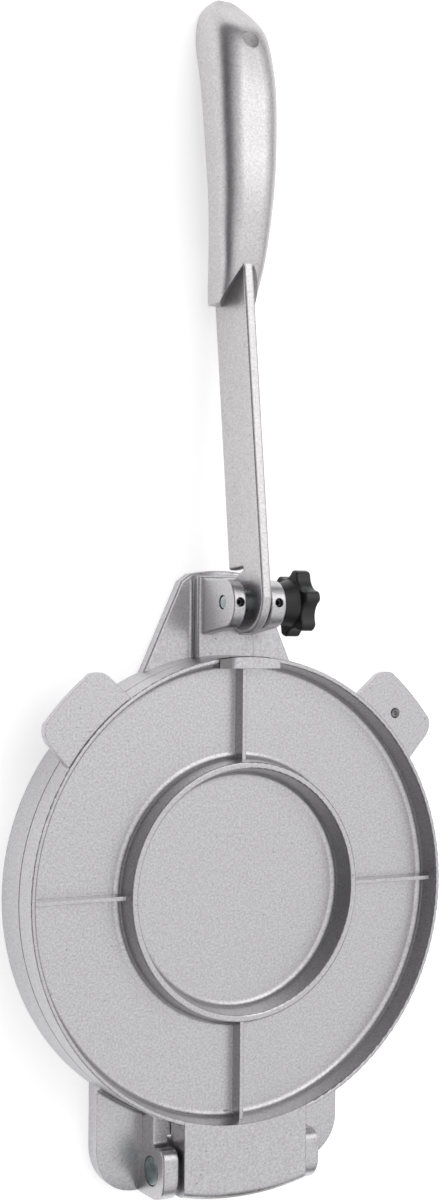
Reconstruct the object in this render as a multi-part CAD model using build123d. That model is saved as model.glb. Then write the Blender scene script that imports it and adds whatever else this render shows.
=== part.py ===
from build123d import *

import math
import os

# Cast-metal tortilla press, closed, with its lever laid back behind it.
# Millimetres. +Z is up. The origin is the centre of the round plates on the
# table. +Y points to the lever, -Y to the plate hinge, +X to the knob.

# ---- driving dimensions ----------------------------------------------------

PLATE_R = 101.0            # both round plates, an eight-inch press
BASE_TOP = 17.8            # pressing face of the lower plate
BASE_FLOOR = 5.0           # metal under the pressing face
BASE_WALL = 5.0            # outer wall round the hollow underside
PLATE_GAP = 0.6            # daylight between the closed plates

TOP_FLOOR = 2.4            # metal of the upper plate between its ribs
RIM_TOP = 30.7             # top of the upper plate's rim and ring
RIM_TOP_WIDTH = 2.0
RIM_FOOT_WIDTH = 4.1
RING_OUTER_FOOT_R = 57.1
RING_OUTER_TOP_R = 55.5
RING_INNER_TOP_R = 52.8
RING_INNER_FOOT_R = 50.2
RIB_TOP = 26.2
RIB_FOOT_WIDTH = 3.0
RIB_TOP_WIDTH = 1.8

TAB_ANGLES = (44.5, 135.5)  # finger tabs, degrees from +X
TAB_REACH = 119.8
TAB_ROOT_HALF = 20.2
TAB_END_HALF = 18.6
TAB_CORNER = 8.5
TAB_TOP = 29.7
TAB_THICK = 3.6

PAD_HALF = 15.0            # wear pad on the rim, where the lever bears
PAD_TOP = 31.2
PAD_FRONT = 95.6           # inner face of the pad

HINGE_Y = -117.5           # hinge pin, parallel to X
HINGE_Z = 16.6
HINGE_PIN_R = 6.3
RUNNING_CLEARANCE = 0.05   # radial, in every turning bore
TONGUE_HALF = 30.0
TONGUE_TOP = 30.9
TONGUE_START = -93.0       # buried in the rim
TONGUE_BOTTOM = 3.5        # underside of the eye about the pin
TONGUE_FILLET = 4.5
ROOT_CIRCLE_R = 100.6      # just inside the rim's outer face
KNUCKLE_INNER = 31.5
KNUCKLE_OUTER = 38.5
KNUCKLE_FRONT = -106.8
KNUCKLE_REAR = -129.2
KNUCKLE_TOP = 28.2
LUG_HALF = 60.0
LUG_TOP = 8.0
LUG_CREASE = -105.0
LUG_REAR_Z = 2.5
LUG_CORNER = 21.4
LUG_START = -80.0          # buried in the plate
LUG_COVE = 3.6             # between the plate's wall and each lug
KNUCKLE_EDGE = 0.9
WEB_REAR = -102.9          # rear wall of the base between the knuckles
TONGUE_END_R = 130.6       # rounded free end, about the plates' axis
TONGUE_END_EDGE = 4.2

PIVOT_Y = 124.0            # lever pivot, parallel to X
PIVOT_Z = 28.2
STUD_R = 3.0
STUD_LEFT = -12.1
STUD_RIGHT = 24.0
GROOVE_R = 2.4
GROOVE_WIDTH = 4.8
EAR_R = 10.5
EAR_MIDDLE = 123.4         # centre of the ears' round ends
EAR_FOOT = (110.0, 134.9)
EAR_EDGE = 0.9
LEFT_EAR = (-12.6, -6.4)
RIGHT_EAR = (5.9, 13.5)
BRACKET_TOP = 5.0
BRACKET_COVE = 3.0
BRACKET_EDGE = 1.2
PEDESTAL_HALF = 14.4
PEDESTAL_TOP = 10.3
PEDESTAL_REAR = 135.8
PEDESTAL_COVE = 2.2
PEDESTAL_EDGE = 1.4

SCREW_R = 2.0
SCREW_LENGTH = 6.0
SCREW_HEX = 2.0            # across flats
SCREW_TIP_GAP = 0.3

LEVER_THICK = 4.8
LEVER_EDGE = 1.2           # rounding of the shank's long edges
HUB_R = 13.3
FRONT_OFFSET = 16.75       # front edge's distance from the pivot axis
FRONT_SLOPE = 7.1          # degrees that the front edge falls towards the tip
CAM_TOP_Y = PIVOT_Y + 2.1  # where the front edge turns into the cam nose
NOTCH_MOUTH_Z = 24.0       # where the notch leaves the round hub
NOTCH_APEX = (139.4, 30.4)
NOTCH_FILLET = 0.5
HEEL_CORNER = (138.0, 15.4)
HEEL_FILLET = 1.5
SHANK_FOOT = (258.0, 0.7)  # rear edge, just clear of the table
SHANK_FOOT_FILLET = 12.0
SHANK_END = 274.0          # buried in the handle
HANG_HOLE_Y = 369.0
HANG_HOLE_R = 4.0
HANG_PAD_R = 7.5           # flat pad round the hole, inside the hollow
HANG_PAD_Z = 20.5
SPACER_R = 5.5
SPACER_END_GAP = 0.1

KNOB_R = 14.9
KNOB_ROOT_R = 11.4         # bottom of the scallops between the lobes
KNOB_LOBES = 6
KNOB_PHASE = 18.0          # degrees from +Y towards +Z to the first lobe
KNOB_SCALLOP_R = 7.2
KNOB_LOBE_FILLET = 2.2
KNOB_HUB_R = 8.4
KNOB_HUB_FLARE = 2.4
KNOB_LEFT = 13.8
KNOB_HEAD_LEFT = 20.6
KNOB_RIGHT = 28.1
KNOB_EDGE = 1.1

CUT = 60.0                 # length of cutters that must pass right through

# Section of the handle at stations along Y:
# (Y, underside, front, half width, front corner radius, rear corner radius)
HANDLE_STATIONS = (
    (255.0, 5.6, 21.8, 8.9, 6.0, 1.5),
    (262.0, 6.3, 23.7, 9.6, 6.0, 1.8),
    (271.0, 7.9, 26.8, 10.5, 6.4, 2.2),
    (283.0, 10.3, 29.3, 12.0, 8.0, 2.8),
    (293.0, 11.4, 31.1, 12.8, 9.0, 3.0),
    (312.0, 11.3, 32.7, 13.9, 9.6, 3.2),
    (331.0, 9.9, 32.4, 14.8, 10.4, 3.4),
    (351.0, 7.0, 31.0, 15.1, 11.0, 3.4),
    (361.0, 4.2, 29.1, 14.9, 11.4, 3.2),
    (370.0, 1.4, 26.4, 14.4, 11.2, 2.8),
    (375.5, 0.8, 22.8, 14.0, 10.0, 2.4),
    (380.5, 0.7, 17.4, 13.2, 8.2, 2.0),
    (384.5, 0.7, 12.6, 11.8, 6.2, 1.6),
    (388.0, 0.8, 8.6, 9.2, 4.2, 1.2),
    (390.8, 0.9, 5.8, 6.2, 2.6, 0.9),
    (392.2, 1.1, 4.2, 4.0, 1.5, 0.6),
)
HANDLE_WALL = 3.4          # sides of the hollow that is open underneath
HANDLE_CROWN = 4.2         # metal over the hollow
HOLLOW_START = 277.0
HOLLOW_END = 383.0
HOLLOW_LEAST_FRONT = 12.0  # stations this high or more carry the hollow
VEE_CORNER = (-8.9, 255.0, 17.0)    # lower corner of the handle's front face
VEE_APEX = (-2.4, 271.0, 26.8)      # where the shank's edge meets that face
VEE_FOOT = (-2.4, 256.0, 8.0)

# Corners of the bracket's outline on the table, right half
BRACKET_OUTLINE = ((38.8, 93.0), (36.0, 98.8), (28.1, 116.2), (20.1, 133.5))
BRACKET_END = (15.4, 136.8)
BRACKET_BOW = 138.4


# ---- helpers ---------------------------------------------------------------

def bar_x(radius, left, right, y, z):
    """Round bar parallel to X, from left to right, about the line at y, z."""
    plane = Plane(origin=(left, y, z), x_dir=(0, 1, 0), z_dir=(1, 0, 0))
    return extrude(plane * Circle(radius), amount=right - left)


def side_profile(points, left, right):
    """Prism of a closed outline in Y and Z, from left to right along X."""
    outline = make_face(Polyline(*[(0, y, z) for y, z in points], close=True))
    return Pos(left, 0, 0) * extrude(outline, amount=right - left, dir=(1, 0, 0))


def block(x_range, y_range, z_range):
    """Box between two limits on each axis."""
    size = [high - low for low, high in (x_range, y_range, z_range)]
    middle = [(low + high) / 2 for low, high in (x_range, y_range, z_range)]
    return Pos(*middle) * Box(*size)


def disc(radius, bottom, top):
    """Upright round disc about the plates' axis."""
    upright = (Align.CENTER, Align.CENTER, Align.MIN)
    return Pos(0, 0, bottom) * Cylinder(radius, top - bottom, align=upright)


def both_sides(solid):
    """A solid and its mirror image across the middle plane, X = 0."""
    return solid + mirror(solid, about=Plane.YZ)


# ---- lower plate -----------------------------------------------------------

UNDER_RING_R = 50.0
UNDER_RING_HALF = 2.0
UNDER_RIB = 3.0
UNDER_BOSS_R = 12.0
OUTER_RIBS = 12
INNER_RIBS = 6


def rib_star(count, inner, outer, bottom, top, width):
    """Straight radial ribs, evenly spaced, the first one along +X."""
    rib = block((inner, outer), (-width / 2, width / 2), (bottom, top))
    ribs = rib
    for index in range(1, count):
        ribs += Rot(0, 0, index * 360 / count) * rib
    return ribs


def underside_hollow():
    """The pockets under the pressing face, between ribs and rings."""
    top = BASE_TOP - BASE_FLOOR
    outer = disc(PLATE_R - BASE_WALL, -1, top) - disc(UNDER_RING_R + UNDER_RING_HALF, -1, top)
    outer -= rib_star(OUTER_RIBS, UNDER_RING_R, PLATE_R, -1, top, UNDER_RIB)
    inner = disc(UNDER_RING_R - UNDER_RING_HALF, -1, top) - disc(UNDER_BOSS_R, -1, top)
    inner -= rib_star(INNER_RIBS, 0, UNDER_RING_R, -1, top, UNDER_RIB)
    return outer + inner


def bracket_plan():
    """Outline of the bracket that carries the lever, seen from above."""
    right = [(x, y) for x, y in BRACKET_OUTLINE]
    left = [(-x, y) for x, y in reversed(BRACKET_OUTLINE)]
    end_x, end_y = BRACKET_END
    rim = Line((-right[0][0], right[0][1]), right[0])
    side_right = Polyline(*right)
    corner_right = Line(right[-1], (end_x, end_y))
    bow = ThreePointArc((end_x, end_y), (0, BRACKET_BOW), (-end_x, end_y))
    corner_left = Line((-end_x, end_y), left[0])
    side_left = Polyline(*left)
    return make_face([rim, side_right, corner_right, bow, corner_left, side_left])


def ear(x_range):
    """One clevis ear: a wide foot and a round end about the pivot."""
    plane = Plane(origin=(x_range[0], 0, 0), x_dir=(0, 1, 0), z_dir=(1, 0, 0))
    head = Pos(EAR_MIDDLE, PIVOT_Z) * Circle(EAR_R)
    foot_middle = (EAR_FOOT[0] + EAR_FOOT[1]) / 2
    foot = Pos(foot_middle, PEDESTAL_TOP - 2.0) * Rectangle(EAR_FOOT[1] - EAR_FOOT[0], 1.0)
    outline = make_hull((head + foot).edges())
    plate = extrude(plane * outline, amount=x_range[1] - x_range[0])
    rims = plate.faces().filter_by(Axis.X).edges()
    rims = rims.filter_by(lambda edge: edge.center().Z > PEDESTAL_TOP)
    return fillet(rims, EAR_EDGE)


def lug():
    """Right half of the hinge lug plate, falling away behind its crease."""
    plan = make_face(
        Polyline(
            (KNUCKLE_INNER, LUG_START),
            (LUG_HALF, LUG_START),
            (LUG_HALF, KNUCKLE_REAR),
            (KNUCKLE_INNER, KNUCKLE_REAR),
            close=True,
        )
    )
    corner = plan.vertices().sort_by_distance((LUG_HALF, KNUCKLE_REAR))[0]
    plate = extrude(fillet(corner, LUG_CORNER), amount=LUG_TOP)
    drop = LUG_TOP - LUG_REAR_Z
    length = LUG_CREASE - KNUCKLE_REAR
    bend_r = (length ** 2 + drop ** 2) / (2 * drop)
    side = Plane(origin=(KNUCKLE_INNER, 0, 0), x_dir=(0, 1, 0), z_dir=(1, 0, 0))
    roof = side * (Pos(LUG_CREASE, LUG_TOP - bend_r) * Circle(bend_r))
    flat = block((KNUCKLE_INNER, LUG_HALF), (LUG_CREASE, 0), (0, LUG_TOP))
    falling = extrude(roof, amount=LUG_HALF - KNUCKLE_INNER)
    return plate & (flat + falling)


def knuckle():
    """Right knuckle with the arm that ties it to the plate's wall."""
    profile = make_face(
        Polyline(
            (-91.0, 0),
            (-91.0, BASE_TOP),
            (KNUCKLE_FRONT, BASE_TOP),
            (KNUCKLE_FRONT, KNUCKLE_TOP),
            (KNUCKLE_REAR, KNUCKLE_TOP),
            (KNUCKLE_REAR, 0),
            close=True,
        )
    )
    points = profile.vertices()
    front = points.sort_by_distance((KNUCKLE_FRONT, KNUCKLE_TOP))[0]
    rear = points.sort_by_distance((KNUCKLE_REAR, KNUCKLE_TOP))[0]
    step = points.sort_by_distance((KNUCKLE_FRONT, BASE_TOP))[0]
    profile = fillet(rear, 10.0)
    profile = fillet(profile.vertices().sort_by_distance(front.center())[0], 5.0)
    profile = fillet(profile.vertices().sort_by_distance(step.center())[0], 2.0)
    side = Plane(origin=(KNUCKLE_INNER, 0, 0), x_dir=(0, 1, 0), z_dir=(1, 0, 0))
    cheek = extrude(side * profile, amount=KNUCKLE_OUTER - KNUCKLE_INNER)
    rims = cheek.faces().sort_by(Axis.X)[-1].edges()
    rims = rims.filter_by(lambda edge: edge.center().Z > LUG_TOP and edge.center().Y < -92.0)
    return fillet(rims, KNUCKLE_EDGE)


def wall_seam(body, height):
    """Edges where a flange of this height meets the plate's round wall."""
    rounds = body.edges().filter_by(GeomType.CIRCLE)
    rounds = rounds.filter_by(lambda edge: abs(edge.radius - PLATE_R) < 0.01)
    return rounds.filter_by(lambda edge: abs(edge.bounding_box().max.Z - height) < 0.01)


def bracket():
    """Bracket plate with the pedestal that the clevis ears stand on."""
    plate = extrude(bracket_plan(), amount=BRACKET_TOP)
    tops = plate.faces().sort_by(Axis.Z)[-1].edges()
    plate = fillet(tops.filter_by(lambda edge: edge.center().Y > 100.0), BRACKET_EDGE)
    pedestal = block((-PEDESTAL_HALF, PEDESTAL_HALF), (98.0, PEDESTAL_REAR), (0, PEDESTAL_TOP))
    tops = pedestal.faces().sort_by(Axis.Z)[-1].edges()
    pedestal = fillet(tops.filter_by(lambda edge: edge.center().Y > 100.0), PEDESTAL_EDGE)
    return plate + pedestal


def pedestal_cove():
    """Hollow fillet along the right foot of the pedestal."""
    section = make_face(
        Polyline(
            (PEDESTAL_HALF - 1.0, BRACKET_TOP - 1.0),
            (PEDESTAL_HALF + PEDESTAL_COVE, BRACKET_TOP - 1.0),
            (PEDESTAL_HALF + PEDESTAL_COVE, BRACKET_TOP + PEDESTAL_COVE),
            (PEDESTAL_HALF - 1.0, BRACKET_TOP + PEDESTAL_COVE),
            close=True,
        )
    )
    middle = (PEDESTAL_HALF + PEDESTAL_COVE - 0.1, BRACKET_TOP + PEDESTAL_COVE - 0.1)
    section -= Pos(*middle) * Circle(PEDESTAL_COVE)
    section = section.faces().sort_by(Axis.X)[0]
    plane = Plane(origin=(0, 98.0, 0), x_dir=(1, 0, 0), z_dir=(0, -1, 0))
    return extrude(plane * section, amount=-(PEDESTAL_REAR - PEDESTAL_EDGE - 98.0))


def base_plate():
    """Lower casting: pressing plate, lever bracket and hinge knuckles."""
    body = disc(PLATE_R, 0, BASE_TOP) + both_sides(lug())
    body = fillet(wall_seam(body, LUG_TOP), LUG_COVE)
    body += bracket() + both_sides(pedestal_cove())
    body += ear(LEFT_EAR) + ear(RIGHT_EAR)
    body += both_sides(knuckle())
    body += block((-KNUCKLE_INNER, KNUCKLE_INNER), (WEB_REAR, -90.0), (0, BASE_TOP))
    body -= underside_hollow()
    body -= bar_x(HINGE_PIN_R, -CUT, CUT, HINGE_Y, HINGE_Z)
    body -= bar_x(STUD_R + RUNNING_CLEARANCE, -CUT, CUT, PIVOT_Y, PIVOT_Z)
    upright = (Align.CENTER, Align.CENTER, Align.MIN)
    for x in screw_positions():
        body -= Pos(x, PIVOT_Y, PIVOT_Z) * Cylinder(SCREW_R, CUT, align=upright)
    return body


# ---- upper plate -----------------------------------------------------------

def top_section():
    """Half section of the upper plate: floor, ring and drafted rim."""
    low = BASE_TOP + PLATE_GAP
    floor = low + TOP_FLOOR
    outline = Polyline(
        (0, low),
        (PLATE_R, low),
        (PLATE_R, RIM_TOP),
        (PLATE_R - RIM_TOP_WIDTH, RIM_TOP),
        (PLATE_R - RIM_FOOT_WIDTH, floor),
        (RING_OUTER_FOOT_R, floor),
        (RING_OUTER_TOP_R, RIM_TOP),
        (RING_INNER_TOP_R, RIM_TOP),
        (RING_INNER_FOOT_R, floor),
        (0, floor),
        close=True,
    )
    section = make_face(outline)
    feet = [
        (PLATE_R - RIM_FOOT_WIDTH, floor),
        (RING_OUTER_FOOT_R, floor),
        (RING_INNER_FOOT_R, floor),
    ]
    tops = [
        (PLATE_R, RIM_TOP),
        (PLATE_R - RIM_TOP_WIDTH, RIM_TOP),
        (RING_OUTER_TOP_R, RIM_TOP),
        (RING_INNER_TOP_R, RIM_TOP),
    ]
    for point in feet:
        section = fillet(section.vertices().sort_by_distance(point)[0], 3.0)
    for point in tops:
        section = fillet(section.vertices().sort_by_distance(point)[0], 0.7)
    return Plane.XZ * section


def rib():
    """One rib along +X, from the ring to the rim, narrower at its top."""
    low = BASE_TOP + PLATE_GAP + TOP_FLOOR / 2
    section = make_face(
        Polyline(
            (-RIB_FOOT_WIDTH / 2, low),
            (RIB_FOOT_WIDTH / 2, low),
            (RIB_TOP_WIDTH / 2, RIB_TOP),
            (-RIB_TOP_WIDTH / 2, RIB_TOP),
            close=True,
        )
    )
    inner = RING_INNER_TOP_R + 1.0
    plane = Plane(origin=(inner, 0, 0), x_dir=(0, 1, 0), z_dir=(1, 0, 0))
    return extrude(plane * section, amount=PLATE_R - RIM_TOP_WIDTH + 0.5 - inner)


def tab():
    """One finger tab, pointing along +X, with rounded outer corners."""
    inner = PLATE_R - 1.5
    plan = make_face(
        Polyline(
            (inner - 4.0, -TAB_ROOT_HALF),
            (TAB_REACH, -TAB_END_HALF),
            (TAB_REACH, TAB_END_HALF),
            (inner - 4.0, TAB_ROOT_HALF),
            close=True,
        )
    )
    corners = plan.vertices().sort_by(Axis.X)[-2:]
    plan = fillet(corners, TAB_CORNER)
    plan -= Circle(PLATE_R - 1.5)
    plate = Pos(0, 0, TAB_TOP - TAB_THICK) * extrude(plan, amount=TAB_THICK)
    return plate & disc(TAB_REACH, 0, CUT)


def tongue():
    """The link that hangs the upper plate on the hinge pin."""
    low = BASE_TOP + PLATE_GAP
    under_r = HINGE_Z - TONGUE_BOTTOM
    under_y = HINGE_Y + math.sqrt(under_r ** 2 - (low - HINGE_Z) ** 2)
    rear = (HINGE_Y - under_r, HINGE_Z)
    edges = [
        Line((TONGUE_START, low), (TONGUE_START, TONGUE_TOP)),
        Line((TONGUE_START, TONGUE_TOP), (-TONGUE_END_R - 1.0, TONGUE_TOP)),
        Line((-TONGUE_END_R - 1.0, TONGUE_TOP), (-TONGUE_END_R - 1.0, HINGE_Z)),
        Line((-TONGUE_END_R - 1.0, HINGE_Z), rear),
        ThreePointArc(rear, (HINGE_Y, TONGUE_BOTTOM), (HINGE_Y + under_r, HINGE_Z)),
        Line((HINGE_Y + under_r, HINGE_Z), (under_y, low)),
        Line((under_y, low), (TONGUE_START, low)),
    ]
    plane = Plane(origin=(-TONGUE_HALF, 0, 0), x_dir=(0, 1, 0), z_dir=(1, 0, 0))
    body = extrude(plane * make_face(edges), amount=2 * TONGUE_HALF)
    end = Plane.XZ * make_face(
        Polyline(
            (PLATE_R - RIM_TOP_WIDTH, 0),
            (TONGUE_END_R, 0),
            (TONGUE_END_R, TONGUE_TOP),
            (PLATE_R - RIM_TOP_WIDTH, TONGUE_TOP),
            close=True,
        )
    )
    corner = end.vertices().sort_by_distance((TONGUE_END_R, 0, TONGUE_TOP))[0]
    ring = revolve(fillet(corner, TONGUE_END_EDGE), axis=Axis.Z)
    return (body & ring) + tongue_roots()


def tongue_roots():
    """Two webs that round the corners between the tongue and the rim."""
    plan = Circle(ROOT_CIRCLE_R) + Pos(0, TONGUE_START) * Rectangle(2 * TONGUE_HALF, 40.0)
    join_y = -math.sqrt(ROOT_CIRCLE_R ** 2 - TONGUE_HALF ** 2)
    for x in (-TONGUE_HALF, TONGUE_HALF):
        plan = fillet(plan.vertices().sort_by_distance((x, join_y))[0], TONGUE_FILLET)
    window = Pos(TONGUE_HALF + 4.0, join_y - 2.0) * Rectangle(10.0, 14.0)
    plan &= window + mirror(window, about=Plane.YZ)
    plan -= Circle(ROOT_CIRCLE_R - 1.0)
    low = BASE_TOP + PLATE_GAP + 0.3
    return Pos(0, 0, low) * extrude(plan, amount=RIM_TOP - 1.0 - low)


def wear_pad():
    """Raised pad on the rim, nearest the lever, where the cam edge bears."""
    pad = block((-PAD_HALF, PAD_HALF), (PAD_FRONT, PLATE_R), (RIM_TOP - 6.0, PAD_TOP))
    return pad & disc(PLATE_R - 0.4, 0, CUT)


def top_plate():
    """Upper casting: ribbed plate, finger tabs, wear pad and hinge tongue."""
    body = revolve(top_section(), axis=Axis.Z)
    for angle in (0, 90, 180, 270):
        body += Rot(0, 0, angle) * rib()
    for angle in TAB_ANGLES:
        body += Rot(0, 0, angle) * tab()
    body += tongue()
    body += wear_pad()
    body -= bar_x(HINGE_PIN_R + RUNNING_CLEARANCE, -CUT, CUT, HINGE_Y, HINGE_Z)
    return body


# ---- lever -----------------------------------------------------------------

def front_edge(y):
    """Height of the lever's straight front edge at y."""
    slope = math.radians(FRONT_SLOPE)
    foot_y = PIVOT_Y + FRONT_OFFSET * math.sin(slope)
    foot_z = PIVOT_Z + FRONT_OFFSET * math.cos(slope)
    return foot_z - (y - foot_y) * math.tan(slope)


def shank():
    """Flat shank, notched behind its round hub, with a rounded cam nose."""
    cam_top = (CAM_TOP_Y, front_edge(CAM_TOP_Y))
    nose = (PIVOT_Y - HUB_R, PIVOT_Z)
    mouth_y = PIVOT_Y + math.sqrt(HUB_R ** 2 - (PIVOT_Z - NOTCH_MOUTH_Z) ** 2)
    mouth = (mouth_y, NOTCH_MOUTH_Z)
    front_end = (SHANK_END - 3.0, front_edge(SHANK_END - 3.0))
    edges = [
        Line((SHANK_END, 9.0), (SHANK_END, 24.0)),
        Line((SHANK_END, 24.0), front_end),
        Line(front_end, cam_top),
        ThreePointArc(cam_top, (PIVOT_Y - 9.0, PIVOT_Z + 11.4), nose),
        ThreePointArc(nose, (PIVOT_Y, PIVOT_Z - HUB_R), mouth),
        Line(mouth, NOTCH_APEX),
        Line(NOTCH_APEX, HEEL_CORNER),
        Line(HEEL_CORNER, SHANK_FOOT),
        Line(SHANK_FOOT, (SHANK_END, 9.0)),
    ]
    outline = make_face(edges)
    for corner, radius in (
        (NOTCH_APEX, NOTCH_FILLET),
        (HEEL_CORNER, HEEL_FILLET),
        (SHANK_FOOT, SHANK_FOOT_FILLET),
    ):
        outline = fillet(outline.vertices().sort_by_distance(corner)[0], radius)
    plane = Plane(origin=(-LEVER_THICK / 2, 0, 0), x_dir=(0, 1, 0), z_dir=(1, 0, 0))
    plate = extrude(plane * outline, amount=LEVER_THICK)
    rims = plate.faces().filter_by(Axis.X).edges()
    rims = rims.filter_by(lambda edge: edge.center().Y < SHANK_END - 2.0 and not in_notch(edge))
    return fillet(rims, LEVER_EDGE)


def in_notch(edge):
    """Whether an edge lies in the narrow notch behind the hub."""
    middle = edge.center()
    return NOTCH_APEX[0] - 4.0 < middle.Y < NOTCH_APEX[0] + 0.6 and middle.Z < NOTCH_APEX[1] + 0.6


def handle_section(station, inset=0.0):
    """Rounded section of the handle, or of the hollow inside it."""
    y, under, front, half, front_radius, rear_radius = station
    if inset:
        under = -1.0
        front -= HANDLE_CROWN
        half -= inset
        front_radius = max(front_radius - inset, 1.5)
        rear_radius = 0.5
    middle = (under + front) / 2
    plane = Plane(origin=(0, y, middle), x_dir=(1, 0, 0), z_dir=(0, -1, 0))
    section = Rectangle(2 * half, front - under)
    section = fillet(section.vertices().sort_by(Axis.Y)[-2:], front_radius)
    section = fillet(section.vertices().sort_by(Axis.Y)[:2], rear_radius)
    return plane * section


def vee_cut():
    """Cutter for the slanted lower end of the handle, left of the shank."""
    corner = Vector(*VEE_CORNER)
    apex = Vector(*VEE_APEX)
    foot = Vector(*VEE_FOOT)
    outward = (foot - corner).cross(apex - corner)
    if outward.Y > 0:
        outward = -outward
    end = Plane(origin=apex, z_dir=outward)
    upright = (Align.CENTER, Align.CENTER, Align.MIN)
    half_space = end * Box(2 * CUT, 2 * CUT, CUT, align=upright)
    return half_space & block((-CUT, VEE_APEX[0]), (0, 2 * HANG_HOLE_Y), (0, CUT))


def handle():
    """Grip that starts in a vee on the shank, arches, and ends in a round tip."""
    grip = loft([handle_section(station) for station in HANDLE_STATIONS])
    grip -= both_sides(vee_cut())
    deep = [station for station in HANDLE_STATIONS if station[2] > HOLLOW_LEAST_FRONT]
    hollow = loft([handle_section(station, HANDLE_WALL) for station in deep])
    hollow &= block((-CUT, CUT), (HOLLOW_START, HOLLOW_END), (-CUT, CUT))
    upright = (Align.CENTER, Align.CENTER, Align.MIN)
    hollow -= Pos(0, HANG_HOLE_Y, HANG_PAD_Z) * Cylinder(HANG_PAD_R, CUT, align=upright)
    return grip - hollow


def lever():
    """Lever casting with its pivot bore and the hanging hole in its tip."""
    body = shank() + handle()
    body -= bar_x(STUD_R + RUNNING_CLEARANCE, -CUT, CUT, PIVOT_Y, PIVOT_Z)
    body -= Pos(0, HANG_HOLE_Y, 0) * Cylinder(HANG_HOLE_R, CUT * 2)
    return body


def lever_spacers():
    """Two plain sleeves that keep the lever in the middle of its slot."""
    half = LEVER_THICK / 2
    sleeves = []
    for left, right in (
        (LEFT_EAR[1] + SPACER_END_GAP, -half),
        (half, RIGHT_EAR[0] - SPACER_END_GAP),
    ):
        sleeve = bar_x(SPACER_R, left, right, PIVOT_Y, PIVOT_Z)
        sleeves.append(sleeve - bar_x(STUD_R + RUNNING_CLEARANCE, left, right, PIVOT_Y, PIVOT_Z))
    return Compound(children=sleeves)


# ---- pins, screws and knob -------------------------------------------------

def hinge_pin():
    """Plain steel rod through both knuckles and the tongue's barrel."""
    pin = bar_x(HINGE_PIN_R, -KNUCKLE_OUTER, KNUCKLE_OUTER, HINGE_Y, HINGE_Z)
    return chamfer(pin.edges(), 0.6)


def screw_positions():
    """X of the two lock screws, each in the middle of its ear."""
    return [(low + high) / 2 for low, high in (LEFT_EAR, RIGHT_EAR)]


def set_screws():
    """Two socket set screws whose tips sit in the stud's grooves."""
    tip = PIVOT_Z + GROOVE_R + SCREW_TIP_GAP
    upright = (Align.CENTER, Align.CENTER, Align.MIN)
    screw = Pos(0, 0, tip) * Cylinder(SCREW_R, SCREW_LENGTH, align=upright)
    screw = chamfer(screw.edges(), 0.4)
    socket = RegularPolygon(SCREW_HEX / 2, 6, major_radius=False)
    screw -= Pos(0, 0, tip + SCREW_LENGTH - 2.5) * extrude(socket, amount=CUT)
    return Compound(children=[Pos(x, PIVOT_Y, 0) * screw for x in screw_positions()])


def pivot_stud():
    """Steel stud that carries the lever, grooved under each lock screw."""
    stud = bar_x(STUD_R, STUD_LEFT, STUD_RIGHT, PIVOT_Y, PIVOT_Z)
    stud = chamfer(stud.edges(), 0.5)
    for x in screw_positions():
        left = x - GROOVE_WIDTH / 2
        right = x + GROOVE_WIDTH / 2
        groove = bar_x(STUD_R + 1, left, right, PIVOT_Y, PIVOT_Z)
        stud -= groove - bar_x(GROOVE_R, left, right, PIVOT_Y, PIVOT_Z)
    return stud


def star_knob():
    """Lobed hand knob on a flared hub, moulded onto the stud's end."""
    plane = Plane(origin=(KNOB_HEAD_LEFT, PIVOT_Y, PIVOT_Z), x_dir=(0, 1, 0), z_dir=(1, 0, 0))
    outline = Circle(KNOB_R)
    reach = KNOB_ROOT_R + KNOB_SCALLOP_R
    for index in range(KNOB_LOBES):
        turn = math.radians(KNOB_PHASE + (index + 0.5) * 360 / KNOB_LOBES)
        outline -= Pos(reach * math.cos(turn), reach * math.sin(turn)) * Circle(KNOB_SCALLOP_R)
    outline = fillet(outline.vertices(), KNOB_LOBE_FILLET)
    head = extrude(plane * outline, amount=KNOB_RIGHT - KNOB_HEAD_LEFT)
    head = fillet(head.faces().filter_by(Axis.X).edges(), KNOB_EDGE)
    start = Plane(origin=(KNOB_LEFT, PIVOT_Y, PIVOT_Z), x_dir=(0, 1, 0), z_dir=(1, 0, 0))
    end = start.offset(KNOB_HEAD_LEFT + 1.0 - KNOB_LEFT)
    hub = loft([start * Circle(KNOB_HUB_R), end * Circle(KNOB_HUB_R + KNOB_HUB_FLARE)])
    knob = head + hub
    return knob - bar_x(STUD_R, KNOB_LEFT - 1, STUD_RIGHT, PIVOT_Y, PIVOT_Z)


# ---- export ----------------------------------------------------------------

NODES = {
    "base_plate": base_plate,
    "top_plate": top_plate,
    "lever": lever,
    "lever_spacers": lever_spacers,
    "hinge_pin": hinge_pin,
    "set_screws": set_screws,
    "pivot_stud": pivot_stud,
    "star_knob": star_knob,
}


def main():
    """Write one STEP file for each piece."""
    os.makedirs("parts", exist_ok=True)
    for name, make in NODES.items():
        export_step(make(), f"parts/{name}.step")


if __name__ == "__main__":
    main()
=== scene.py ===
"""Looks of a cast-aluminium tortilla press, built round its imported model."""

from __future__ import annotations

import logging
import math
from dataclasses import dataclass, field

import bmesh
import bpy
from mathutils import Matrix, Vector


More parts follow.
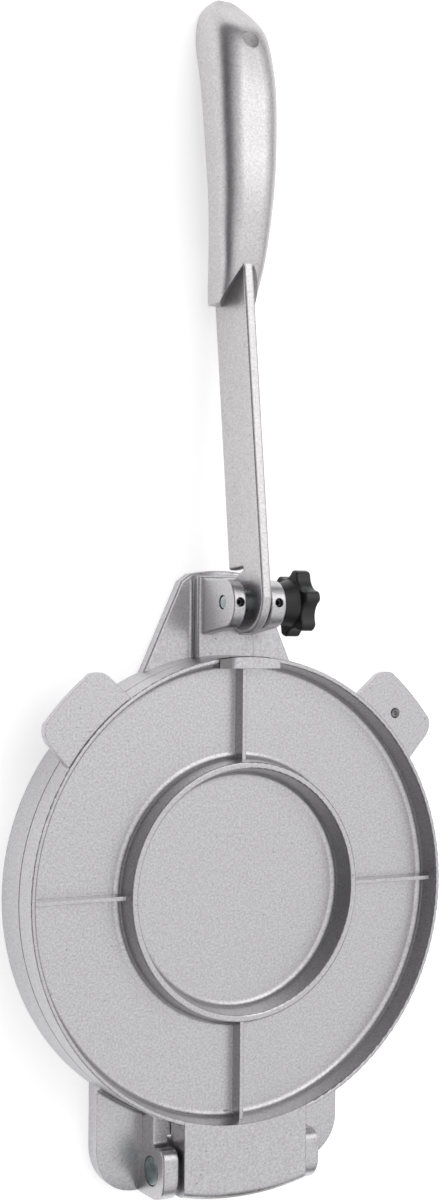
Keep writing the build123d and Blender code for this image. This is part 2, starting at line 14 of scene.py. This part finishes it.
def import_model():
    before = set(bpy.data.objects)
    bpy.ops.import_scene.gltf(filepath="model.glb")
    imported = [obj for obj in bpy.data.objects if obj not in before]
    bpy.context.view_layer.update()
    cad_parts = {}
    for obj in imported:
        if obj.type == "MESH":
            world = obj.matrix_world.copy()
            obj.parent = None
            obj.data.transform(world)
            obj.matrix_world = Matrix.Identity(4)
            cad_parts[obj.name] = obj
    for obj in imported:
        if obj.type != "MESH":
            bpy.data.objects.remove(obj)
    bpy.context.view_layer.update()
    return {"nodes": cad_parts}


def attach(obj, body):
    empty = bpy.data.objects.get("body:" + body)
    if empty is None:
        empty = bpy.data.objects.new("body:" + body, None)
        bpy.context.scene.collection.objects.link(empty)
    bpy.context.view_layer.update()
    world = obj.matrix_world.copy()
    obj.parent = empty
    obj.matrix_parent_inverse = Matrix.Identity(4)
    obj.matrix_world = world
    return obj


LOG = logging.getLogger("tortilla_press")
MM = 0.001


def linear(hex_colour: str) -> tuple[float, float, float, float]:
    """Turn an sRGB hex colour into Blender's linear colour.

    Args:
        hex_colour: Six hex digits, such as "C8C8C8".

    Returns:
        Linear red, green, blue and an alpha of 1.
    """
    channels = [int(hex_colour[i : i + 2], 16) / 255 for i in (0, 2, 4)]
    low = [c / 12.92 if c <= 0.04045 else ((c + 0.055) / 1.055) ** 2.4 for c in channels]
    return low[0], low[1], low[2], 1.0


def add_node(
    tree: bpy.types.NodeTree,
    kind: str,
    settings: dict[str, object] | None = None,
    links: dict[str | int, bpy.types.NodeSocket] | None = None,
) -> bpy.types.Node:
    """Add one node with its settings and links.

    Args:
        tree: The node tree that gets the node.
        kind: Blender's name of the node type.
        settings: Attribute names or input socket names, with their values.
        links: Input sockets by name or number, with the outputs that feed them.

    Returns:
        The new node.
    """
    node = tree.nodes.new(kind)
    for name, value in (settings or {}).items():
        if hasattr(node, name):
            setattr(node, name, value)
        else:
            node.inputs[name].default_value = value
    for name, output in (links or {}).items():
        tree.links.new(output, node.inputs[name])
    return node


@dataclass(frozen=True)
class Patch:
    """A box on a casting, in millimetres, where shade is painted into the skin's colour."""

    middle_mm: tuple[float, float, float]
    half_mm: tuple[float, float, float]
    colour: str = "5E5C5A"
    most: float = 0.8
    fade: tuple[float, float] = (0.15, 0.75)

    def spread(
        self, tree: bpy.types.NodeTree, place: bpy.types.NodeSocket, speckle: bpy.types.NodeSocket
    ) -> bpy.types.NodeSocket:
        """Give how far a point of the skin belongs to the patch.

        Args:
            tree: The casting's node tree.
            place: The point, in object coordinates.
            speckle: Noise that breaks the patch up.

        Returns:
            An output from 0, outside, to the patch's most, inside.
        """
        middle = [value * MM for value in self.middle_mm]
        half = [value * MM for value in self.half_mm]
        away = add_node(tree, "ShaderNodeVectorMath", {"operation": "SUBTRACT"}, {0: place})
        away.inputs[1].default_value = middle
        share = add_node(tree, "ShaderNodeVectorMath", {"operation": "DIVIDE"}, {0: away.outputs[0]})
        share.inputs[1].default_value = half
        size = add_node(tree, "ShaderNodeVectorMath", {"operation": "LENGTH"}, {0: share.outputs[0]})
        links = {0: size.outputs["Value"], 1: speckle}
        ragged = add_node(tree, "ShaderNodeMath", {"operation": "SUBTRACT"}, links)
        inner, outer = self.fade
        fade = {"From Min": inner, "From Max": outer, "To Min": self.most, "To Max": 0.0}
        return add_node(tree, "ShaderNodeMapRange", fade, {"Value": ragged.outputs[0]}).outputs["Result"]


@dataclass(frozen=True)
class CastAluminium:
    """Die-cast aluminium, tumbled after casting: a soft silver satin with a fine grain.

    The clouds are flow marks of the melt. The grain is drawn a little coarser than
    the tumbling media leave it, so that it shows. Edges are rounded by the tumbling.
    """

    name: str
    colour: str = "CFCED0"
    shade: str = "B9B7B9"
    roughness: float = 0.3
    grain_depth_mm: float = 0.06
    grain_mm: float = 0.9
    pit_mm: float = 1.6
    cloud_mm: float = 26.0
    scratch_mm: float = 1.1
    scratch_depth_mm: float = 0.02
    edge_mm: float = 0.5
    shade_patches: tuple[Patch, ...] = ()

    def build(self) -> bpy.types.Material:
        """Build the node material."""
        material = bpy.data.materials.new(self.name)
        material.use_nodes = True
        tree = material.node_tree
        shader = tree.nodes["Principled BSDF"]
        shader.inputs["Metallic"].default_value = 1.0
        place = add_node(tree, "ShaderNodeTexCoord").outputs["Object"]
        cloud = self._noise(tree, place, self.cloud_mm, 4.0)
        fine = self._noise(tree, place, self.grain_mm, 3.0)
        speck = self._noise(tree, place, self.pit_mm, 5.0)
        limits = {"From Min": 0.35, "From Max": 0.65}
        mottle = add_node(tree, "ShaderNodeMapRange", limits, {"Value": fine})
        colours = {"Color1": linear(self.shade), "Color2": linear(self.colour)}
        links = {"Fac": mottle.outputs["Result"]}
        colour = add_node(tree, "ShaderNodeMixRGB", colours, links).outputs["Color"]
        colour = self._pits(tree, colour, speck)
        # Each patch mixes in a darker colour: painted shade, not a mark on the metal.
        for patch in self.shade_patches:
            share = patch.spread(tree, place, speck)
            colour = add_node(
                tree, "ShaderNodeMixRGB", {"Color2": linear(patch.colour)}, {"Fac": share, "Color1": colour}
            ).outputs["Color"]
        tree.links.new(colour, shader.inputs["Base Color"])
        limits = {"To Min": self.roughness - 0.06, "To Max": self.roughness + 0.1}
        rough = add_node(tree, "ShaderNodeMapRange", limits, {"Value": cloud})
        tree.links.new(rough.outputs["Result"], shader.inputs["Roughness"])
        edge = add_node(tree, "ShaderNodeBevel", {"samples": 4, "Radius": self.edge_mm * MM})
        drag = self._scratches(tree, place)
        scratched = add_node(
            tree,
            "ShaderNodeBump",
            {"Strength": 0.25, "Distance": self.scratch_depth_mm * MM},
            {"Height": drag, "Normal": edge.outputs["Normal"]},
        )
        bump = add_node(
            tree,
            "ShaderNodeBump",
            {"Strength": 0.7, "Distance": self.grain_depth_mm * MM},
            {"Height": fine, "Normal": scratched.outputs["Normal"]},
        )
        tree.links.new(bump.outputs["Normal"], shader.inputs["Normal"])
        return material

    def _noise(
        self, tree: bpy.types.NodeTree, place: bpy.types.NodeSocket, size_mm: float, detail: float
    ) -> bpy.types.NodeSocket:
        """Add noise whose blotches are about size_mm across.

        Args:
            tree: The node tree.
            place: Where the noise is read.
            size_mm: Size of one blotch.
            detail: Octaves of finer noise on it.

        Returns:
            The noise, about 0.3 to 0.7.
        """
        settings = {"Scale": 1 / (size_mm * MM), "Detail": detail}
        return add_node(tree, "ShaderNodeTexNoise", settings, {"Vector": place}).outputs["Fac"]

    def _pits(
        self, tree: bpy.types.NodeTree, colour: bpy.types.NodeSocket, speck: bpy.types.NodeSocket
    ) -> bpy.types.NodeSocket:
        """Sprinkle the small dark pits that gas leaves in a casting.

        Args:
            tree: The node tree.
            colour: The skin's colour so far.
            speck: Noise at the pits' size.

        Returns:
            The colour with its pits.
        """
        limits = {"From Min": 0.66, "From Max": 0.74, "To Max": 0.55}
        pit = add_node(tree, "ShaderNodeMapRange", limits, {"Value": speck})
        dark = {"Color2": linear("6F6D6B")}
        links = {"Fac": pit.outputs["Result"], "Color1": colour}
        return add_node(tree, "ShaderNodeMixRGB", dark, links).outputs["Color"]

    def _scratches(self, tree: bpy.types.NodeTree, place: bpy.types.NodeSocket) -> bpy.types.NodeSocket:
        """Add fine handling scratches, longer along the lever than across it.

        Args:
            tree: The node tree.
            place: Where they are read.

        Returns:
            Their height.
        """
        turned = add_node(tree, "ShaderNodeMapping", {"Rotation": (0.3, 0.2, 0.5), "Scale": (1.0, 0.12, 1.0)})
        tree.links.new(place, turned.inputs["Vector"])
        return self._noise(tree, turned.outputs["Vector"], self.scratch_mm, 2.0)


@dataclass(frozen=True)
class PlatedSteel:
    """Zinc-plated steel: bluish and smoother than the castings, with a faint bloom."""

    name: str
    colour: str = "AFBDBD"
    bloom: str = "8E9C9E"
    roughness: float = 0.27
    bloom_mm: float = 4.0
    edge_mm: float = 0.25
    grain_mm: float = 0.4
    grain_depth_mm: float = 0.01

    def build(self) -> bpy.types.Material:
        """Build the node material."""
        material = bpy.data.materials.new(self.name)
        material.use_nodes = True
        tree = material.node_tree
        shader = tree.nodes["Principled BSDF"]
        shader.inputs["Metallic"].default_value = 1.0
        shader.inputs["Roughness"].default_value = self.roughness
        place = add_node(tree, "ShaderNodeTexCoord").outputs["Object"]
        settings = {"Scale": 1 / (self.bloom_mm * MM), "Detail": 4.0}
        noise = add_node(tree, "ShaderNodeTexNoise", settings, {"Vector": place})
        spread = add_node(tree, "ShaderNodeMapRange", {"From Min": 0.38, "From Max": 0.62})
        tree.links.new(noise.outputs["Fac"], spread.inputs["Value"])
        colours = {"Color1": linear(self.colour), "Color2": linear(self.bloom)}
        tint = add_node(tree, "ShaderNodeMixRGB", colours, {"Fac": spread.outputs["Result"]})
        tree.links.new(tint.outputs["Color"], shader.inputs["Base Color"])
        edge = add_node(tree, "ShaderNodeBevel", {"samples": 4, "Radius": self.edge_mm * MM})
        fine = add_node(tree, "ShaderNodeTexNoise", {"Scale": 1 / (self.grain_mm * MM)}, {"Vector": place})
        links = {"Height": fine.outputs["Fac"], "Normal": edge.outputs["Normal"]}
        settings = {"Strength": 0.4, "Distance": self.grain_depth_mm * MM}
        bump = add_node(tree, "ShaderNodeBump", settings, links)
        tree.links.new(bump.outputs["Normal"], shader.inputs["Normal"])
        return material


@dataclass(frozen=True)
class MouldedNylon:
    """Glass-filled nylon, injection moulded: near black with a low, slightly mottled sheen."""

    name: str
    colour: str = "171717"
    worn: str = "242425"
    roughness: float = 0.4
    mottle_mm: float = 0.6
    mottle_depth_mm: float = 0.03

    def build(self) -> bpy.types.Material:
        """Build the node material."""
        material = bpy.data.materials.new(self.name)
        material.use_nodes = True
        tree = material.node_tree
        shader = tree.nodes["Principled BSDF"]
        shader.inputs["Roughness"].default_value = self.roughness
        place = add_node(tree, "ShaderNodeTexCoord").outputs["Object"]
        settings = {"Scale": 1 / (self.mottle_mm * MM), "Detail": 4.0}
        noise = add_node(tree, "ShaderNodeTexNoise", settings, {"Vector": place})
        colours = {"Color1": linear(self.colour), "Color2": linear(self.worn)}
        tint = add_node(tree, "ShaderNodeMixRGB", colours, {"Fac": noise.outputs["Fac"]})
        tree.links.new(tint.outputs["Color"], shader.inputs["Base Color"])
        settings = {"Strength": 0.5, "Distance": self.mottle_depth_mm * MM}
        bump = add_node(tree, "ShaderNodeBump", settings, {"Height": noise.outputs["Fac"]})
        tree.links.new(bump.outputs["Normal"], shader.inputs["Normal"])
        return material


@dataclass
class StudioCamera:
    """The photograph's viewpoint: above the press, to its left."""

    target_mm: tuple[float, float, float] = (-8.6, 125.1, 20.0)
    distance_mm: float = 792.8
    azimuth_deg: float = -29.46
    tilt_deg: float = -1.117
    roll_deg: float = 0.48
    lens_mm: float = 54.94
    sensor_mm: float = 36.0

    def build(self) -> None:
        """Create the camera and make it the scene's own."""
        tilt = math.radians(self.tilt_deg)
        azimuth = math.radians(self.azimuth_deg)
        level = math.cos(tilt)
        back = Vector((math.sin(azimuth) * level, math.sin(tilt), math.cos(azimuth) * level))
        up = (Vector((0, 1, 0)) - back * back.y).normalized()
        up = Matrix.Rotation(math.radians(self.roll_deg), 3, back) @ up
        right = up.cross(back)
        data = bpy.data.cameras.new("photo_camera")
        data.lens = self.lens_mm
        data.sensor_width = self.sensor_mm
        data.clip_start = 0.05
        camera = bpy.data.objects.new("photo_camera", data)
        place = (Vector(self.target_mm) + back * self.distance_mm) * MM
        turn = Matrix((right, up, back)).transposed().to_4x4()
        camera.matrix_world = Matrix.Translation(place) @ turn
        bpy.context.scene.collection.objects.link(camera)
        bpy.context.scene.camera = camera


@dataclass
class Studio:
    """White sweep, one soft overhead light and a room that is dark on the left."""

    floor_m: float = 4.0
    floor_glow: float = 0.55
    key_watts: float = 2.4
    key_size_m: float = 0.9
    key_m: tuple[float, float, float] = (0.45, 0.75, 1.1)
    key_aim_m: tuple[float, float, float] = (0.0, 0.12, 0.02)
    sky: tuple[tuple[float, str], ...] = (
        (0.0, "3C3C3D"),
        (0.28, "58585A"),
        (0.46, "9C9C9E"),
        (0.7, "EFEFF0"),
        (1.0, "FCFCFC"),
    )
    lean: float = 0.35

    def build(self) -> None:
        """Build floor, lamp and world."""
        bpy.context.scene.view_settings.view_transform = "Standard"
        self._floor()
        self._lamp()
        self._world()

    def _seen(self, tree: bpy.types.NodeTree) -> bpy.types.NodeSocket:
        """Give 1 for rays from the camera, from gloss and through glass, else 0.

        Args:
            tree: The tree that gets the nodes.

        Returns:
            The output with that value.
        """
        path = add_node(tree, "ShaderNodeLightPath")
        names = {0: path.outputs["Is Camera Ray"], 1: path.outputs["Is Glossy Ray"]}
        direct = add_node(tree, "ShaderNodeMath", {"operation": "MAXIMUM"}, names)
        names = {0: direct.outputs[0], 1: path.outputs["Is Transmission Ray"]}
        return add_node(tree, "ShaderNodeMath", {"operation": "MAXIMUM"}, names).outputs[0]

    def _floor(self) -> None:
        """Lay the white floor, which glows a little so that it shows white with a soft shadow."""
        bpy.ops.mesh.primitive_plane_add(size=self.floor_m, location=(0, 0, 0))
        floor = bpy.context.object
        floor.name = "studio_floor"
        material = bpy.data.materials.new("white_paper_sweep")
        material.use_nodes = True
        tree = material.node_tree
        tree.nodes.remove(tree.nodes["Principled BSDF"])
        paper = add_node(tree, "ShaderNodeBsdfDiffuse", {"Color": linear("E6E6E6")})
        glow = add_node(tree, "ShaderNodeMath", {"operation": "MULTIPLY"}, {0: self._seen(tree)})
        glow.inputs[1].default_value = self.floor_glow
        light = add_node(tree, "ShaderNodeEmission", None, {"Strength": glow.outputs[0]})
        both = add_node(tree, "ShaderNodeAddShader", None, {0: paper.outputs[0], 1: light.outputs[0]})
        tree.links.new(both.outputs[0], tree.nodes["Material Output"].inputs["Surface"])
        floor.data.materials.append(material)

    def _lamp(self) -> None:
        """Hang one square soft box, aimed at the press."""
        data = bpy.data.lights.new("soft_box", "AREA")
        data.energy = self.key_watts
        data.size = self.key_size_m
        lamp = bpy.data.objects.new("soft_box", data)
        lamp.location = self.key_m
        aim = Vector(self.key_aim_m) - Vector(self.key_m)
        lamp.rotation_euler = aim.to_track_quat("-Z", "Y").to_euler()
        bpy.context.scene.collection.objects.link(lamp)

    def _world(self) -> None:
        """Surround the press with a room that is bright above and to the right."""
        world = bpy.data.worlds.new("soft_room")
        bpy.context.scene.world = world
        world.use_nodes = True
        tree = world.node_tree
        place = add_node(tree, "ShaderNodeTexCoord").outputs["Generated"]
        height = add_node(tree, "ShaderNodeVectorMath", {"operation": "DOT_PRODUCT"}, {0: place})
        height.inputs[1].default_value = (self.lean, 0.0, 1.0)
        limits = {"From Min": -0.1, "From Max": 1.0}
        level = add_node(tree, "ShaderNodeMapRange", limits, {"Value": height.outputs["Value"]})
        ramp = add_node(tree, "ShaderNodeValToRGB", None, {"Fac": level.outputs["Result"]})
        stops = ramp.color_ramp.elements
        for index, (position, colour) in enumerate(self.sky):
            stop = stops[index] if index < 2 else stops.new(position)
            stop.position = position
            stop.color = linear(colour)
        path = add_node(tree, "ShaderNodeLightPath")
        links = {"Fac": path.outputs["Is Camera Ray"], "Color1": ramp.outputs["Color"]}
        mix = add_node(tree, "ShaderNodeMixRGB", {"Color2": (1, 1, 1, 1)}, links)
        tree.links.new(mix.outputs["Color"], tree.nodes["Background"].inputs["Color"])


@dataclass
class Castings:
    """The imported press, dressed node by node."""

    # Painted shade on the rim beside the raised pad, where the lever's nose darkens it.
    painted_nose_shade: Patch = Patch((-12.2, 98.6, 31.2), (5.0, 4.2, 2.0))
    # Painted shade on the tongue's rounded end, where it curves away from the light.
    painted_tongue_shade: Patch = Patch((0.0, -131.0, 29.0), (44.0, 3.4, 9.0), "777472", 0.7)
    finishes: dict[str, object] = field(init=False)

    def __post_init__(self) -> None:
        """Choose each node's finish."""
        self.finishes = {
            "base_plate": CastAluminium("tumbled_cast_aluminium_base"),
            "top_plate": CastAluminium(
                "tumbled_cast_aluminium_plate", shade_patches=(self.painted_nose_shade, self.painted_tongue_shade)
            ),
            "lever": CastAluminium("tumbled_cast_aluminium_lever", "D3D1D2", "BFBCBD", 0.36),
            "lever_spacers": PlatedSteel("turned_steel_spacer", "8F9496", "74797B"),
            "hinge_pin": PlatedSteel("zinc_plated_rod"),
            "set_screws": PlatedSteel("black_oxide_screw", "5C5C5E", "3C3C3E", 0.35),
            "pivot_stud": PlatedSteel("zinc_plated_stud", "B9C4C6", "99A5A8"),
            "star_knob": MouldedNylon("moulded_nylon"),
        }

    def dress(self, nodes: dict[str, bpy.types.Object]) -> None:
        """Give each node its finish.

        Args:
            nodes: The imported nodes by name.
        """
        for name, finish in self.finishes.items():
            material = finish.build()
            for slot in nodes[name].material_slots:
                slot.material = material
            LOG.info("dressed %s", name)


@dataclass
class CastMarksAndGapShadows:
    """Small marks: an ejector spot that moulding leaves, and round each pin end a dark ring of painted shadow
    in the gap.
    """

    tab_ring_mm: tuple[float, float, float] = (76.5, 75.5, 29.7)
    tab_ring_r: float = 1.3
    line: float = 2.2
    rise: float = 0.05
    pin_mm: tuple[float, float] = (-117.5, 16.6)
    pin_r: float = 6.3
    seat_x: float = 38.455
    seat_line: float = 0.35
    seat_rise: float = 0.04
    ring_steps: int = 48

    def build(self) -> None:
        """Build every mark and put it on its body."""
        skin = CastAluminium("burnished_cast_aluminium", "DAD8D5", "C9C6C3", 0.26).build()
        # The dark rings round the pin ends are painted shadow in the gap round each pin.
        dark = PlatedSteel("painted_gap_shadow", "3A3A3B", "2A2A2B", 0.5).build()
        ring = self._ring(self.tab_ring_r, self.line, self.rise)
        place = Matrix.Translation(Vector(self.tab_ring_mm))
        self._finish("tab_ejector_mark", ring, place, "upper_plate", skin)
        for name, side in (("left_pin_gap_shadow", -1), ("right_pin_gap_shadow", 1)):
            seat = self._ring(self.pin_r, self.seat_line, self.seat_rise)
            turn = Matrix.Rotation(side * math.pi / 2, 4, "Y")
            place = Matrix.Translation(Vector((side * self.seat_x, *self.pin_mm))) @ turn
            self._finish(name, seat, place, "base", dark)

    def _ring(self, radius: float, width: float, height: float) -> bmesh.types.BMesh:
        """Make a low flat ring that lies on a face.

        Args:
            radius: Middle radius of the ring.
            width: Width of its line.
            height: How far it stands proud.

        Returns:
            The ring's mesh, in millimetres, about the origin with +Z up.
        """
        mesh = bmesh.new()
        corners = [(-width / 2, 0), (-width / 4, height), (width / 4, height), (width / 2, 0)]
        verts = [mesh.verts.new((radius + x, 0, z)) for x, z in corners]
        edges = [mesh.edges.new((verts[i], verts[(i + 1) % 4])) for i in range(4)]
        bmesh.ops.spin(
            mesh,
            geom=verts + edges,
            axis=(0, 0, 1),
            cent=(0, 0, 0),
            steps=self.ring_steps,
            angle=2 * math.pi,
            use_merge=True,
        )
        bmesh.ops.remove_doubles(mesh, verts=mesh.verts, dist=1e-5)
        bmesh.ops.recalc_face_normals(mesh, faces=mesh.faces)
        return mesh

    def _finish(
        self,
        name: str,
        mesh: bmesh.types.BMesh,
        place: Matrix,
        body: str,
        material: bpy.types.Material,
    ) -> None:
        """Turn a mesh in millimetres into a finished piece.

        Args:
            name: The piece's name.
            mesh: Its mesh, which is freed.
            place: Where it goes, in millimetres.
            body: The body it rides on.
            material: Its material.
        """
        bmesh.ops.transform(mesh, matrix=Matrix.Scale(MM, 4) @ place, verts=mesh.verts)
        data = bpy.data.meshes.new(name)
        mesh.to_mesh(data)
        mesh.free()
        data.materials.append(material)
        for face in data.polygons:
            face.use_smooth = True
        piece = bpy.data.objects.new(name, data)
        bpy.context.scene.collection.objects.link(piece)
        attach(piece, body)
        LOG.info("built %s with %d faces", name, len(data.polygons))


def main() -> None:
    """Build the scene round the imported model."""
    logging.basicConfig(level=logging.INFO)
    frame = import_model()
    StudioCamera().build()
    Studio().build()
    Castings().dress(frame["nodes"])
    CastMarksAndGapShadows().build()


if __name__ == "__main__":
    main()
